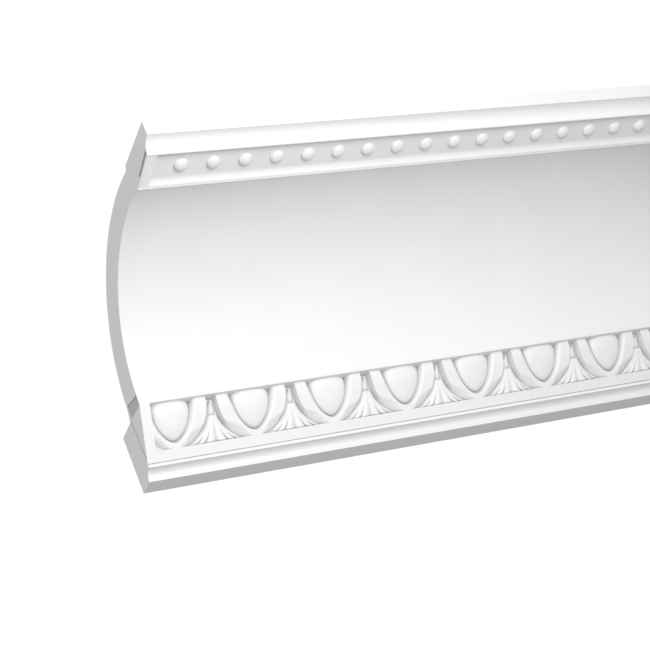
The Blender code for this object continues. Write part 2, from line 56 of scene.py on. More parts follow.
# Overall sizes, from the frame
LENGTH = CAD_HIGH.x - CAD_LOW.x
PROJECTION = CAD_HIGH.y - CAD_LOW.y
HEIGHT = CAD_HIGH.z - CAD_LOW.z
ORIGIN_UP = -CAD_LOW.z

# Crown, from the ceiling down
CEILING_CONTACT = 0.0403
CEILING_CHAMFER = 0.0025
FASCIA_HEIGHT = 0.0102
CROWN_COVE_WIDTH = 0.0092
CROWN_COVE_DROP = 0.0077
SOFFIT_WIDTH = 0.0290
SOFFIT_FALL = 0.0040

# Foot, from the wall out
FOOT_HEIGHT = 0.0420
FOOT_TOP_WIDTH = 0.0184
PANEL_TOP_OUT = 0.0418
PANEL_BOTTOM_OUT = 0.0215
PANEL_BOTTOM_UP = 0.0089
QUIRK_DEPTH = 0.0008
QUIRK_WIDTH = 0.0006
FILLET_BACK = 0.0003
FILLET_HEIGHT = 0.0020
TOE_OUT = 0.0140
TOE_HEIGHT = 0.0026
TOE_SPLAY = 0.0010

# Shell behind the cove
SHELL_WALL = 0.0184
SHELL_SHIFT = 0.0022
SHELL_START_UP = 0.0080

# Bead channel in the soffit
BEAD_STRIP = 0.0070
CHANNEL_FRONT_LEDGE = 0.0015
CHANNEL_BACK_LEDGE = 0.0021
CHANNEL_BACK_SLOPE = 0.0046
CHANNEL_FRONT_DEPTH = 0.0033
CHANNEL_BACK_DEPTH = 0.0027
LEDGE_ROUND = 0.0004
LIP_SKEW = 2.2
BEAD_PITCH = 0.0220
BEAD_FIRST = 0.0261
BEAD_RADIUS = 0.0048
BEAD_RISE = 0.0031
BEAD_ACROSS = 0.0136
BEAD_SIDES = 32
BEAD_RINGS = (1.0, 0.985, 0.95, 0.89, 0.8, 0.68, 0.52, 0.34, 0.17)

# Pockets in the cut ends. The sliver's corners are (in from the soffit's front, up from the soffit),
# the others' are (out, up) from the inner top corner of the foot
SLIVER_CORNERS = ((0.0008, 0.0013), (0.0193, 0.0014), (0.0209, 0.0030), (0.0006, 0.0040))
SLIVER_DEPTH = 0.0008
SHELL_CORNERS = ((0.0045, 0.0002), (0.0219, -0.0015), (0.0231, 0.0062), (0.0051, 0.0094))
SHELL_DEPTH = 0.0005
SLIT_ENDS = ((0.0018, -0.0008), (0.0036, -0.0300))
SLIT_WIDTH = 0.0008
SLIT_DEPTH = 0.0022

# Egg-and-dart band in the sloping panel
EGG_PITCH = 0.0574
EGG_FIRST = 0.0211
EGG_STRIP = 0.0070
RECESS_TOP = 0.0010
RECESS_DROP = 0.0308
EGG_SPINE_LENGTH = 0.0120
EGG_TOP_DEPTH = 0.0021
EGG_CREST_DEPTH = 0.0004
CREST_DOWN = 0.0110
GROOVE_TOP_DEPTH = 0.0072
GROOVE_MIDDLE_DEPTH = 0.0034
GROOVE_FOOT_DEPTH = 0.0046
GROOVE_WIDTH = 0.0003
GROOVE_FOOT = 0.0004
HUSK_TOP_WIDTH = 0.0109
HUSK_FOOT_WIDTH = 0.0036
HUSK_GAP = 0.0076
HUSK_RUN_ON = 0.0026
HUSK_TOP_DEPTH = 0.0020
HUSK_CREST_DEPTH = 0.0003
FACET_FALL = 0.0028
HUSK_WALL_RUN_TOP = 0.0013
HUSK_WALL_RUN_FOOT = 0.0021
GROUND_TOP_DEPTH = 0.0066
GROUND_FOOT_DEPTH = 0.0040

# Dart between two eggs: a bud above, a fluted skirt below
BUD_TOP_DOWN = 0.0031
BUD_BOTTOM_DOWN = 0.0137
BUD_HALF_WIDTH = 0.0029
BUD_CREST_DEPTH = 0.0035
BUD_FOOT_RUN = 0.0014
SKIRT_TOP_DOWN = 0.0141
SKIRT_TOP_DEPTH = 0.0028
SKIRT_FOOT_DEPTH = 0.0005
SKIRT_EDGE_FALL = 0.0026
SKIRT_END_RUN = 0.0009
SKIRT_END_FALL = 0.0007
SKIRT_LOBES = 3
FLUTE_DEPTH = 0.0022

# Exponents of the curved outlines (x/w)^p + (s/d)^q = 1, and of the egg's dome
EGG_ROUNDNESS = (1.6, 2.1)
HUSK_ROUNDNESS = (1.5, 2.5)
EGG_DOME = 2.8
# Turn of the U, 0 at its top and 1 at its foot, by which the groove has come up from its deep top
GROOVE_TURN = 0.38
# Share of the husk's width over which it rises from the groove, at its top and foot, and how fast
HUSK_RIDGE = (0.45, 0.25)
HUSK_RISE = 3.0
# Facet on the lower outer side of the husk: its turns, its share of the width and its roundness
FACET_TURNS = (0.36, 0.88)
FACET_REACH = 0.64
FACET_POWER = 1.3
# How early the ground beside the dart comes up
GROUND_POWER = 0.8
# Part of a sine wave that is the bud's outline, and what is left of the bud's height at its foot
BUD_START = 0.03
BUD_SPAN = 0.62
BUD_FOOT_LIFT = 0.6
# Spread of the skirt's lobes towards its sides, their fall there, where down the skirt the middle
# and the outermost flute begin, and how narrow the flutes are
LOBE_SPREAD = 1.3
EDGE_POWER = 4.0
FLUTE_STARTS = (0.20, 0.85)
FLUTE_POWER = 0.45

# The husks share out the pitch; each husk's curve would run on below the sill
HUSK_HALF_WIDTH = 0.5 * (EGG_PITCH - HUSK_GAP)
HUSK_LENGTH = RECESS_DROP + HUSK_RUN_ON
EGG_HALF_WIDTH = HUSK_HALF_WIDTH - HUSK_TOP_WIDTH - GROOVE_WIDTH
EGG_LENGTH = RECESS_DROP - HUSK_FOOT_WIDTH - GROOVE_FOOT

# How finely the curves are divided
COVE_STEPS = 120
SHELL_STEPS = 96
SMALL_COVE_STEPS = 16
LEDGE_STEPS = 10
SLOPE_STEPS = 14
BUD_STEPS = 15
BUD_FOOT_STEPS = 4
SKIRT_STEPS = 22
SKIRT_END_STEPS = 5
FOOT_STEPS = 8
EGG_RINGS = 18
HUSK_RINGS = 18
DART_COLUMNS = 36
# Shares of the dart's half width from its side to its middle, with the flutes evenly divided
DART_ACROSS = [(1.0 - i / DART_COLUMNS) ** (1.0 / LOBE_SPREAD) for i in range(DART_COLUMNS + 1)]
# Edges that turn more than this stay sharp
SHARP_ANGLE = math.radians(42.0)

# Corners are one where they fall on the same point of a grid with this many steps to the metre;
# a corner closer than SAME_PLACE to a line or plane lies on it
GRID_STEPS = 1e7
SAME_PLACE = 1e-6
# A corner closer than this to the cut along an end strip isn't split from it
CUT_GAP = 1e-7

# Finish: the two tones of the white, where in the cloud noise they are reached, and its fine grain
TONES = (0.805, 0.825)
TONE_STOPS = (0.3, 0.7)
WARMTH = 0.003
CLOUD_SCALE = 22.0
CLOUD_DETAIL = 3.0
GRAIN_SCALE = 900.0
GRAIN_DETAIL = 2.0
GRAIN_HEIGHT = 0.00003
GRAIN_STRENGTH = 0.2
ROUGHNESS = (0.46, 0.56)
# Painted shade in grooves and recesses: how far neighbouring faces count, the shares of open sky between
# which the painted tone changes, and the darkest painted tone
PAINTED_SHADE_REACH = 0.006
PAINTED_SHADE_DARKEST = 0.2
PAINTED_SHADE_OPEN = 0.85
PAINTED_SHADE_TONE = 0.66
PAINTED_SHADE_SAMPLES = 16
# Painted shade: flat grey tone painted on the faces of the end pockets
PAINTED_POCKET_SHADE_TONE = 0.53

# Camera at the photo's viewpoint, measured from the left end; its turns are in degrees
SENSOR_WIDTH = 36.0
LENS = 100.7
CAMERA_ALONG = -0.4302
CAMERA_OUT = 0.9614
CAMERA_DOWN = 0.5169
CAMERA_TURNS = (120.1775, 21.2593, -20.3234)

# Key light below the left end on the room side, measured from that end, and the soft light round it;
# the surroundings are brighter to the camera than as light
KEY_ALONG = 0.0
KEY_OUT = 0.77
KEY_DOWN = 0.18
KEY_SIZE = 0.4
KEY_POWER = 4.3
AIM_ALONG = 0.15
AIM_OUT = 0.10
AIM_UP = 0.06
AMBIENT = 0.70
BACKDROP = 1.05
FLOOR_TONE = 0.50
FLOOR_ROUGHNESS = 0.9
FLOOR_SIZE = 8.0
FLOOR_DOWN = 0.95

EGG_COUNT = round((LENGTH - 2.0 * EGG_FIRST) / EGG_PITCH) + 1
BEAD_COUNT = int((LENGTH - BEAD_FIRST - BEAD_STRIP - BEAD_RADIUS) / BEAD_PITCH) + 1


def arc(centre, radius, start, end, steps):
    """Points of a circular arc in the section, ends included; angles in radians."""
    points = []
    for i in range(steps + 1):
        angle = start + (end - start) * i / steps
        points.append((centre[0] + radius * math.cos(angle), centre[1] + radius * math.sin(angle)))
    return points


def hollow_quarter(start, end, steps):
    """A concave quarter of an ellipse from start in and down to end."""
    width = start[0] - end[0]
    drop = start[1] - end[1]
    points = []
    for i in range(steps + 1):
        angle = 0.5 * math.pi * (1.0 + i / steps)
        points.append((start[0] + width * math.cos(angle), end[1] + drop * math.sin(angle)))
    return points


# Named corners of the section as (out from the wall, up from the underside)
SOFFIT_FRONT = (PROJECTION - CROWN_COVE_WIDTH, HEIGHT - FASCIA_HEIGHT - CROWN_COVE_DROP)
COVE_LIP = (SOFFIT_FRONT[0] - SOFFIT_WIDTH, SOFFIT_FRONT[1] - SOFFIT_FALL)
PANEL_TOP = (PANEL_TOP_OUT, FOOT_HEIGHT)
PANEL_BOTTOM = (PANEL_BOTTOM_OUT, PANEL_BOTTOM_UP)

# The cove leaves the panel upright and passes through the lip
COVE_RUN = COVE_LIP[0] - PANEL_TOP[0]
COVE_RISE = COVE_LIP[1] - PANEL_TOP[1]
COVE_RADIUS = (COVE_RUN ** 2 + COVE_RISE ** 2) / (2.0 * COVE_RUN)
COVE_CENTRE = (PANEL_TOP[0] + COVE_RADIUS, PANEL_TOP[1])

SOFFIT_SLOPE = SOFFIT_FALL / SOFFIT_WIDTH
PANEL_LENGTH = math.dist(PANEL_TOP, PANEL_BOTTOM)
PANEL_RUN = PANEL_BOTTOM[0] - PANEL_TOP[0]
PANEL_RISE = PANEL_BOTTOM[1] - PANEL_TOP[1]
PANEL_DOWN = (PANEL_RUN / PANEL_LENGTH, PANEL_RISE / PANEL_LENGTH)
PANEL_NORMAL = (-PANEL_DOWN[1], PANEL_DOWN[0])
# Sideways lean of the relief that makes the top of the recess level
LEVEL_LEAN = -PANEL_NORMAL[1] / PANEL_DOWN[1]


def soffit_point(inward, depth):
    """A point under the soffit: distance in from its front edge, and depth up into it."""
    return (SOFFIT_FRONT[0] - inward, SOFFIT_FRONT[1] - inward * SOFFIT_SLOPE + depth)


def panel_point(down):
    """A point of the sloping panel at a distance down from its top."""
    return (PANEL_TOP[0] + down * PANEL_DOWN[0], PANEL_TOP[1] + down * PANEL_DOWN[1])


def relief_point(down, height):
    """A point of the relief: distance down from the top of its recess, and height off the panel.

    Close to the top the height is measured level instead of square to the panel,
    so that the upper side of the recess is a level soffit.
    """
    out, up = panel_point(RECESS_TOP + down)
    lean = LEVEL_LEAN * max(0.0, 1.0 - down / CREST_DOWN) ** 2
    out += height * (PANEL_NORMAL[0] + lean * PANEL_DOWN[0])
    up += height * (PANEL_NORMAL[1] + lean * PANEL_DOWN[1])
    return (out, up)


CHANNEL_FRONT = soffit_point(CHANNEL_FRONT_LEDGE, 0.0)
CHANNEL_FLOOR_FRONT = soffit_point(CHANNEL_FRONT_LEDGE, CHANNEL_FRONT_DEPTH)
CHANNEL_FLOOR_BACK = soffit_point(SOFFIT_WIDTH - CHANNEL_BACK_LEDGE - CHANNEL_BACK_SLOPE, CHANNEL_BACK_DEPTH)
CHANNEL_BACK = soffit_point(SOFFIT_WIDTH - CHANNEL_BACK_LEDGE, 0.0)


def rounded_ledge(start, end, skew):
    """Section points of a narrow ledge that bulges down, in its middle or past it for a skew over 1."""
    points = []
    for i in range(LEDGE_STEPS + 1):
        share = i / LEDGE_STEPS
        drop = LEDGE_ROUND * math.sin(math.pi * share ** skew)
        points.append((mix(start[0], end[0], share), mix(start[1], end[1], share) - drop))
    return points


def channel_slope():
    """Section points of the hollow slope from the channel's floor to its back edge."""
    points = []
    for i in range(SLOPE_STEPS + 1):
        share = i / SLOPE_STEPS
        inward = SOFFIT_WIDTH - CHANNEL_BACK_LEDGE - CHANNEL_BACK_SLOPE * (1.0 - share)
        points.append(soffit_point(inward, CHANNEL_BACK_DEPTH * (1.0 - share ** 2)))
    return points


def foot_section():
    """Section points from the panel's foot round the underside to the wall."""
    quirk_top = (PANEL_BOTTOM[0] - QUIRK_DEPTH, PANEL_BOTTOM[1])
    quirk_bottom = (quirk_top[0], quirk_top[1] - QUIRK_WIDTH)
    fillet_top = (PANEL_BOTTOM[0] - FILLET_BACK, quirk_bottom[1])
    fillet_bottom = (fillet_top[0], fillet_top[1] - FILLET_HEIGHT)
    toe_top = (TOE_OUT + TOE_SPLAY, TOE_HEIGHT)
    cavetto = hollow_quarter(fillet_bottom, toe_top, SMALL_COVE_STEPS)
    return [quirk_top, quirk_bottom, fillet_top] + cavetto + [(TOE_OUT, 0.0), (0.0, 0.0)]


def back_section():
    """Section points up the hollow back, from the wall to the ceiling."""
    centre = (COVE_CENTRE[0] - SHELL_SHIFT, COVE_CENTRE[1])
    radius = COVE_RADIUS + SHELL_WALL
    ceiling_back = PROJECTION - CEILING_CONTACT
    start = math.pi - math.asin(SHELL_START_UP / radius)
    end = math.acos((ceiling_back - CEILING_CHAMFER - centre[0]) / radius)
    shell = arc(centre, radius, start, end, SHELL_STEPS)
    return [(0.0, FOOT_HEIGHT), (FOOT_TOP_WIDTH, FOOT_HEIGHT)] + shell + [(ceiling_back, HEIGHT)]


def crown_section():
    """Section points from the ceiling down the fascia to the front of the soffit."""
    fascia_bottom = (PROJECTION, HEIGHT - FASCIA_HEIGHT)
    return [(PROJECTION, HEIGHT)] + hollow_quarter(fascia_bottom, SOFFIT_FRONT, SMALL_COVE_STEPS)


def cove_section():
    """Section points of the large cove, from the lip down to the panel."""
    lip_angle = math.atan2(COVE_LIP[1] - COVE_CENTRE[1], COVE_LIP[0] - COVE_CENTRE[0])
    return arc(COVE_CENTRE, COVE_RADIUS, lip_angle, math.pi, COVE_STEPS)


def smooth_step(value):
    """0 below 0, 1 above 1 and an even S between."""
    value = min(1.0, max(0.0, value))
    return value * value * (3.0 - 2.0 * value)


def mix(low, high, share):
    return low + (high - low) * share


def u_curve(half_width, depth, roundness, turn):
    """(sideways, down) on one half of a U-shaped curve; turn runs 0 at its top to 1 at its foot."""
    reach = math.sin(0.5 * math.pi * turn)
    side = max(0.0, 1.0 - reach ** roundness[1]) if turn < 1.0 else 0.0
    return (half_width * side ** (1.0 / roundness[0]), depth * reach)


def turn_at(down):
    """The turn at which the husk's outer edge has come a distance down the recess."""
    return math.asin(down / HUSK_LENGTH) / (0.5 * math.pi)


def turns_between(marks, steps):
    """Turns from the first mark to the last, with a number of steps between each two."""
    found = [marks[0]]
    for start, end, count in zip(marks, marks[1:], steps):
        found += [mix(start, end, (i + 1) / count) for i in range(count)]
    return found


# Rows beside the bud, its foot, the gap below it, the skirt and its end, then those under the husk
DART_DOWNS = (BUD_BOTTOM_DOWN - BUD_FOOT_RUN, BUD_BOTTOM_DOWN, SKIRT_TOP_DOWN, RECESS_DROP - SKIRT_END_RUN)
DART_MARKS = [0.0] + [turn_at(down) for down in (*DART_DOWNS, RECESS_DROP)]
DART_TURNS = turns_between(DART_MARKS, (BUD_STEPS, BUD_FOOT_STEPS, 1, SKIRT_STEPS, SKIRT_END_STEPS))
TURNS = DART_TURNS + turns_between([DART_MARKS[-1], 1.0], (FOOT_STEPS,))[1:]


def swell(down):
    """0 at the top of the recess, rising to 1 where the relief reaches its crest."""
    return 1.0 - max(0.0, 1.0 - down / CREST_DOWN) ** 2


def groove_depth(turn):
    """Depth of the groove between egg and husk, least beside the middle of the egg."""
    top = (GROOVE_TOP_DEPTH - GROOVE_MIDDLE_DEPTH) * max(0.0, 1.0 - turn / GROOVE_TURN) ** 2
    past = (turn - GROOVE_TURN) / (1.0 - GROOVE_TURN)
    foot = (GROOVE_FOOT_DEPTH - GROOVE_MIDDLE_DEPTH) * smooth_step(past)
    return GROOVE_MIDDLE_DEPTH + top + foot


def egg_point(level, turn):
    """(sideways, down, height) on the egg; level 0 is its spine and 1 its rim."""
    depth = mix(EGG_SPINE_LENGTH, EGG_LENGTH, level)
    side, down = u_curve(EGG_HALF_WIDTH * level, depth, EGG_ROUNDNESS, turn)
    crest = -mix(EGG_TOP_DEPTH, EGG_CREST_DEPTH, swell(down))
    dome = math.sqrt(max(0.0, 1.0 - level ** EGG_DOME))
    return (side, down, mix(-groove_depth(turn), crest, dome))


def husk_point(level, turn):
    """(sideways, down, height) on the husk; level 0 is at the groove and 1 is the outer edge."""
    inner = u_curve(EGG_HALF_WIDTH + GROOVE_WIDTH, EGG_LENGTH + GROOVE_FOOT, EGG_ROUNDNESS, turn)
    outer = u_curve(HUSK_HALF_WIDTH, HUSK_LENGTH, HUSK_ROUNDNESS, turn)
    side = mix(inner[0], outer[0], level)
    down = mix(inner[1], min(RECESS_DROP, outer[1]), level)
    crest = -mix(HUSK_TOP_DEPTH, HUSK_CREST_DEPTH, swell(down))
    share = min(1.0, max(0.0, (turn - FACET_TURNS[0]) / (FACET_TURNS[1] - FACET_TURNS[0])))
    start = 1.0 - FACET_REACH * math.sin(math.pi * share)
    fall = FACET_FALL * (max(0.0, level - start) / FACET_REACH) ** FACET_POWER
    ridge = mix(HUSK_RIDGE[0], HUSK_RIDGE[1], turn)
    rise = 1.0 - max(0.0, 1.0 - level / ridge) ** HUSK_RISE
    return (side, down, mix(-groove_depth(turn), crest, rise) - fall)


def ground_depth(down):
    """Depth of the ground beside the dart."""
    return mix(GROUND_TOP_DEPTH, GROUND_FOOT_DEPTH, (down / RECESS_DROP) ** GROUND_POWER)


def bud_half_width(down):
    """Half width of the tear-shaped bud at a distance down the recess."""
    share = (down - BUD_TOP_DOWN) / (BUD_BOTTOM_DOWN - BUD_TOP_DOWN)
    return BUD_HALF_WIDTH * math.sin(math.pi * (BUD_START + BUD_SPAN * min(1.0, max(0.0, share))))


def bud_height(down, across):
    """Height of the bud; across runs 0 in its middle to 1 at its side."""
    lift = smooth_step((down - BUD_TOP_DOWN + 0.5 * BUD_HALF_WIDTH) / BUD_HALF_WIDTH)
    lift *= mix(BUD_FOOT_LIFT, 1.0, smooth_step((BUD_BOTTOM_DOWN - down) / BUD_FOOT_RUN))
    return mix(-ground_depth(down), -BUD_CREST_DEPTH, lift * (1.0 - across ** 2))


def skirt_height(down, across):
    """Height of the fluted skirt; across runs 0 in its middle to 1 at its side."""
    share = max(0.0, down - SKIRT_TOP_DOWN) / (RECESS_DROP - SKIRT_TOP_DOWN)
    crest = -mix(SKIRT_TOP_DEPTH, SKIRT_FOOT_DEPTH, share) - SKIRT_EDGE_FALL * across ** EDGE_POWER
    end = SKIRT_END_FALL * max(0.0, 1.0 - (RECESS_DROP - down) / SKIRT_END_RUN) ** 2
    lobe = abs(math.sin(math.pi * SKIRT_LOBES * across ** LOBE_SPREAD))
    start = mix(FLUTE_STARTS[0], FLUTE_STARTS[1], across)
    growth = max(0.0, share - start) / (1.0 - start)
    return crest - end - FLUTE_DEPTH * growth * (1.0 - lobe ** FLUTE_POWER)


def dart_row(turn):
    """Half a row of the dart bay as (sideways from the dart, down, height), outer edge first."""
    side, down, crest = husk_point(1.0, turn)
    share = smooth_step(down / RECESS_DROP)
    gap = 0.5 * EGG_PITCH - side
    foot = gap - mix(HUSK_WALL_RUN_TOP, HUSK_WALL_RUN_FOOT, share)
    ground = -ground_depth(down)
    bud = down < 0.5 * (BUD_BOTTOM_DOWN + SKIRT_TOP_DOWN)
    dart = bud_half_width(down) if bud else foot
    row = [(gap, down, crest), (foot, down, ground), (dart, down, ground)]
    for across in DART_ACROSS:
        height = bud_height(down, across) if bud else skirt_height(down, across)
        row.append((dart * across, down, max(ground, height)))
    return row


def plain_row(turn):
    """Half a row of an end bay, which has no dart: level from the husk's outer edge."""
    side, down, crest = husk_point(1.0, turn)
    return [(0.5 * EGG_PITCH - side, down, crest), (0.0, down, crest)]


class Builder:
    """Faces on shared corners, so that the patches close into one body."""

    def __init__(self):
        self.mesh = bmesh.new()
        # Per-face mark for the painted shade given to the end pockets' faces
        self.painted_pocket_shade = self.mesh.faces.layers.float.new("painted_pocket_shade")
        self.corners = {}

    def corner(self, along, section):
        """The vertex at a distance along the moulding and a point of its section."""
        place = (along - 0.5 * LENGTH, -section[0], section[1] - ORIGIN_UP)
        key = tuple(round(value * GRID_STEPS) for value in place)
        if key not in self.corners:
            self.corners[key] = self.mesh.verts.new(place)
        return self.corners[key]

    def face(self, corners, painted_pocket_shade=0.0):
        """A face on the given vertices, leaving out repeats; the last argument is 1 where the face gets the
        painted shade of the end pockets.
        """
        loop = []
        for vertex in corners:
            if not loop or vertex is not loop[-1]:
                loop.append(vertex)
        while len(loop) > 1 and loop[0] is loop[-1]:
            loop.pop()
        if len(loop) > 2 and len(set(loop)) == len(loop):
            self.mesh.faces.new(loop)[self.painted_pocket_shade] = painted_pocket_shade

    def strip(self, start, end, start_stops=(), end_stops=()):
        """A full-length face between two section points, with extra stops on either edge."""
        near = [self.corner(x, start) for x in (0.0, *start_stops, LENGTH)]
        far = [self.corner(x, end) for x in (0.0, *end_stops, LENGTH)]
        self.face(near + far[::-1])

    def run(self, section):
        """Full-length faces along a list of section points."""
        for start, end in zip(section, section[1:]):
            self.strip(start, end)


def relief_grid(builder, centre, side, rows):
    """Vertices of relief points that stand on one side of a centre along the moulding."""
    grid = []
    for row in rows:
        vertices = [builder.corner(centre + side * x, relief_point(down, height)) for x, down, height in row]
        grid.append(vertices)
    return grid


def add_grid(builder, centre, rows):
    """Both mirrored halves of a patch of relief."""
    for side in (-1.0, 1.0):
        grid = relief_grid(builder, centre, side, rows)
        for near, far in zip(grid, grid[1:]):
            for i in range(len(near) - 1):
                builder.face([near[i], near[i + 1], far[i + 1], far[i]])


def add_egg_and_husk(builder, centre):
    """The nested U-shaped faces of one egg and its husk."""
    rows = []
    for i in range(EGG_RINGS + 1):
        level = math.sin(0.5 * math.pi * i / EGG_RINGS)
        rows.append([egg_point(level, turn) for turn in TURNS])
    for i in range(HUSK_RINGS + 1):
        rows.append([husk_point(i / HUSK_RINGS, turn) for turn in TURNS])
    add_grid(builder, centre, rows)


def trim_relief(builder, along, keep_right):
    """Cut the relief off square at one end strip."""
    mesh = builder.mesh
    cut = along - 0.5 * LENGTH
    everything = list(mesh.verts) + list(mesh.edges) + list(mesh.faces)
    direction = (1.0, 0.0, 0.0) if keep_right else (-1.0, 0.0, 0.0)
    bmesh.ops.bisect_plane(
        mesh, geom=everything, dist=CUT_GAP, plane_co=(cut, 0.0, 0.0), plane_no=direction, clear_inner=True
    )
    builder.corners = {}
    for vertex in mesh.verts:
        if abs(vertex.co.x - cut) < SAME_PLACE:
            vertex.co.x = cut
        builder.corners[tuple(round(value * GRID_STEPS) for value in vertex.co)] = vertex


def boundary_line(builder, test):
    """Open-edge vertices of the relief that pass a test."""
    found = {vertex for edge in builder.mesh.edges if edge.is_boundary for vertex in edge.verts}
    return [vertex for vertex in found if test(vertex)]


def add_relief(builder):
    """The egg-and-dart relief, its recess walls and the flush face round it."""
    for i in range(EGG_COUNT):
        add_egg_and_husk(builder, EGG_FIRST + i * EGG_PITCH)
    for bay in range(EGG_COUNT + 1):
        row = dart_row if 0 < bay < EGG_COUNT else plain_row
        add_grid(builder, EGG_FIRST + (bay - 0.5) * EGG_PITCH, [row(turn) for turn in DART_TURNS])
    left = EGG_STRIP
    right = LENGTH - EGG_STRIP
    trim_relief(builder, left, True)
    trim_relief(builder, right, False)

    recess_top = panel_point(RECESS_TOP)
    sill = panel_point(RECESS_TOP + RECESS_DROP)
    top_up = recess_top[1] - ORIGIN_UP
    sill_line = Vector((-sill[0], sill[1] - ORIGIN_UP))
    along_panel = Vector((-PANEL_DOWN[0], PANEL_DOWN[1]))

    def on_top(vertex):
        return abs(vertex.co.z - top_up) < SAME_PLACE

    def by_length(vertex):
        return vertex.co.x

    def by_depth(vertex):
        return (vertex.co.yz - sill_line).dot(along_panel)

    def on_sill(vertex):
        return abs(by_depth(vertex)) < SAME_PLACE

    top = sorted(boundary_line(builder, on_top), key=by_length)
    foot = sorted(boundary_line(builder, on_sill), key=by_length)
    stops = [left] + [EGG_FIRST + (i + 0.5) * EGG_PITCH for i in range(EGG_COUNT - 1)] + [right]

    for place in (left, right):
        cut = place - 0.5 * LENGTH
        at_cut = boundary_line(builder, lambda vertex: abs(vertex.co.x - cut) < SAME_PLACE)
        wall = sorted(at_cut, key=by_depth)
        builder.face([builder.corner(place, recess_top)] + wall + [builder.corner(place, sill)])

    for start, end in zip(stops, stops[1:]):
        low = start - 0.5 * LENGTH - SAME_PLACE
        high = end - 0.5 * LENGTH + SAME_PLACE
        for line, section in ((top, recess_top), (foot, sill)):
            inner = [vertex for vertex in line if low <= vertex.co.x <= high]
            builder.face(inner + [builder.corner(end, section), builder.corner(start, section)])

    for start, end in ((0.0, left), (right, LENGTH)):
        corners = [(start, recess_top), (end, recess_top), (end, sill), (start, sill)]
        builder.face([builder.corner(along, section) for along, section in corners])
    builder.strip(PANEL_TOP, recess_top, (), stops)
    builder.strip(sill, PANEL_BOTTOM, stops)


def channel_point(share, depth_off):
    """A point over the channel's floor: share 0 at its front to 1 at its back."""
    out = mix(CHANNEL_FLOOR_FRONT[0], CHANNEL_FLOOR_BACK[0], share)
    up = mix(CHANNEL_FLOOR_FRONT[1], CHANNEL_FLOOR_BACK[1], share)
    return (out, up - depth_off)


def add_bead(builder, centre, share, floor_width):
    """One domed bead and the part of the floor round it."""
    rings = []
    for reach in BEAD_RINGS:
        rise = BEAD_RISE * math.sqrt(max(0.0, 1.0 - reach ** 2))
        ring = []
        for i in range(BEAD_SIDES):
            angle = 2.0 * math.pi * (i + 0.5) / BEAD_SIDES
            across = share + BEAD_RADIUS * reach * math.sin(angle) / floor_width
            along = centre + BEAD_RADIUS * reach * math.cos(angle)
            ring.append(builder.corner(along, channel_point(across, rise)))
        rings.append(ring)
    apex = builder.corner(centre, channel_point(share, BEAD_RISE))
    for outer, inner in zip(rings, rings[1:]):
        for i in range(BEAD_SIDES):
            j = (i + 1) % BEAD_SIDES
            builder.face([outer[i], outer[j], inner[j], inner[i]])
    for i in range(BEAD_SIDES):
        builder.face([rings[-1][i], rings[-1][(i + 1) % BEAD_SIDES], apex])

    half = 0.5 * BEAD_PITCH
    quarter = BEAD_SIDES // 4
    corners = []
    for along, side in ((half, 1.0), (-half, 1.0), (-half, 0.0), (half, 0.0)):
        place = min(max(centre + along, BEAD_STRIP), LENGTH - BEAD_STRIP)
        corners.append(builder.corner(place, channel_point(side, 0.0)))
    first = BEAD_SIDES // 8
    for side in range(4):
        near = [rings[0][(first + side * quarter + i) % BEAD_SIDES] for i in range(quarter + 1)]
        builder.face(near + [corners[(side + 1) % 4], corners[side]])


def add_bead_channel(builder):
    """The sunk channel in the soffit with its row of beads; gives the soffit's section points."""
    left = BEAD_STRIP
    right = LENGTH - BEAD_STRIP
    floor_width = math.dist(CHANNEL_FLOOR_FRONT, CHANNEL_FLOOR_BACK)
    share = (BEAD_ACROSS - CHANNEL_FRONT_LEDGE) / floor_width
    places = [BEAD_FIRST + i * BEAD_PITCH for i in range(BEAD_COUNT)]
    stops = [left]
    for centre in places:
        add_bead(builder, centre, share, floor_width)
        stops += [centre - 0.5 * BEAD_PITCH, centre + 0.5 * BEAD_PITCH]
    stops.append(right)
    stops = sorted({round(min(max(stop, left), right), 9) for stop in stops})
    for start, end in ((left, places[0] - 0.5 * BEAD_PITCH), (places[-1] + 0.5 * BEAD_PITCH, right)):
        if end - start > SAME_PLACE:
            corners = [(start, 0.0), (end, 0.0), (end, 1.0), (start, 1.0)]
            builder.face([builder.corner(along, channel_point(side, 0.0)) for along, side in corners])
    slope = channel_slope()
    for edge, floor in ((CHANNEL_FRONT, CHANNEL_FLOOR_FRONT), (slope[1], slope[0])):
        near = [builder.corner(left, edge), builder.corner(right, edge)]
        far = [builder.corner(stop, floor) for stop in stops]
        builder.face(near + far[::-1])
    for start, end in zip(slope[1:], slope[2:]):
        corners = [(left, start), (right, start), (right, end), (left, end)]
        builder.face([builder.corner(along, section) for along, section in corners])
    for place in (left, right):
        section = [CHANNEL_FRONT, CHANNEL_FLOOR_FRONT] + slope
        builder.face([builder.corner(place, point) for point in section])
    for start, end in ((0.0, left), (right, LENGTH)):
        corners = [(start, CHANNEL_FRONT), (end, CHANNEL_FRONT), (end, CHANNEL_BACK), (start, CHANNEL_BACK)]
        builder.face([builder.corner(along, section) for along, section in corners])
    front = rounded_ledge(SOFFIT_FRONT, CHANNEL_FRONT, 1.0)
    back = rounded_ledge(CHANNEL_BACK, COVE_LIP, LIP_SKEW)
    builder.run(front[:-1])
    builder.strip(front[-2], front[-1], (), (left, right))
    builder.strip(back[0], back[1], (left, right), ())
    builder.run(back[1:])
    return front + back


def end_pockets():
    """Outlines and depths of an end face's pockets: over the soffit, at the shell's foot and a slit."""
    sliver = [soffit_point(inward, up) for inward, up in SLIVER_CORNERS]
    shell = [(FOOT_TOP_WIDTH + out, FOOT_HEIGHT + up) for out, up in SHELL_CORNERS]
    slit = [(FOOT_TOP_WIDTH + out, FOOT_HEIGHT + up) for out, up in SLIT_ENDS]
    slit += [(out + SLIT_WIDTH, up) for out, up in reversed(slit)]
    return ((sliver, SLIVER_DEPTH), (shell, SHELL_DEPTH), (slit, SLIT_DEPTH))


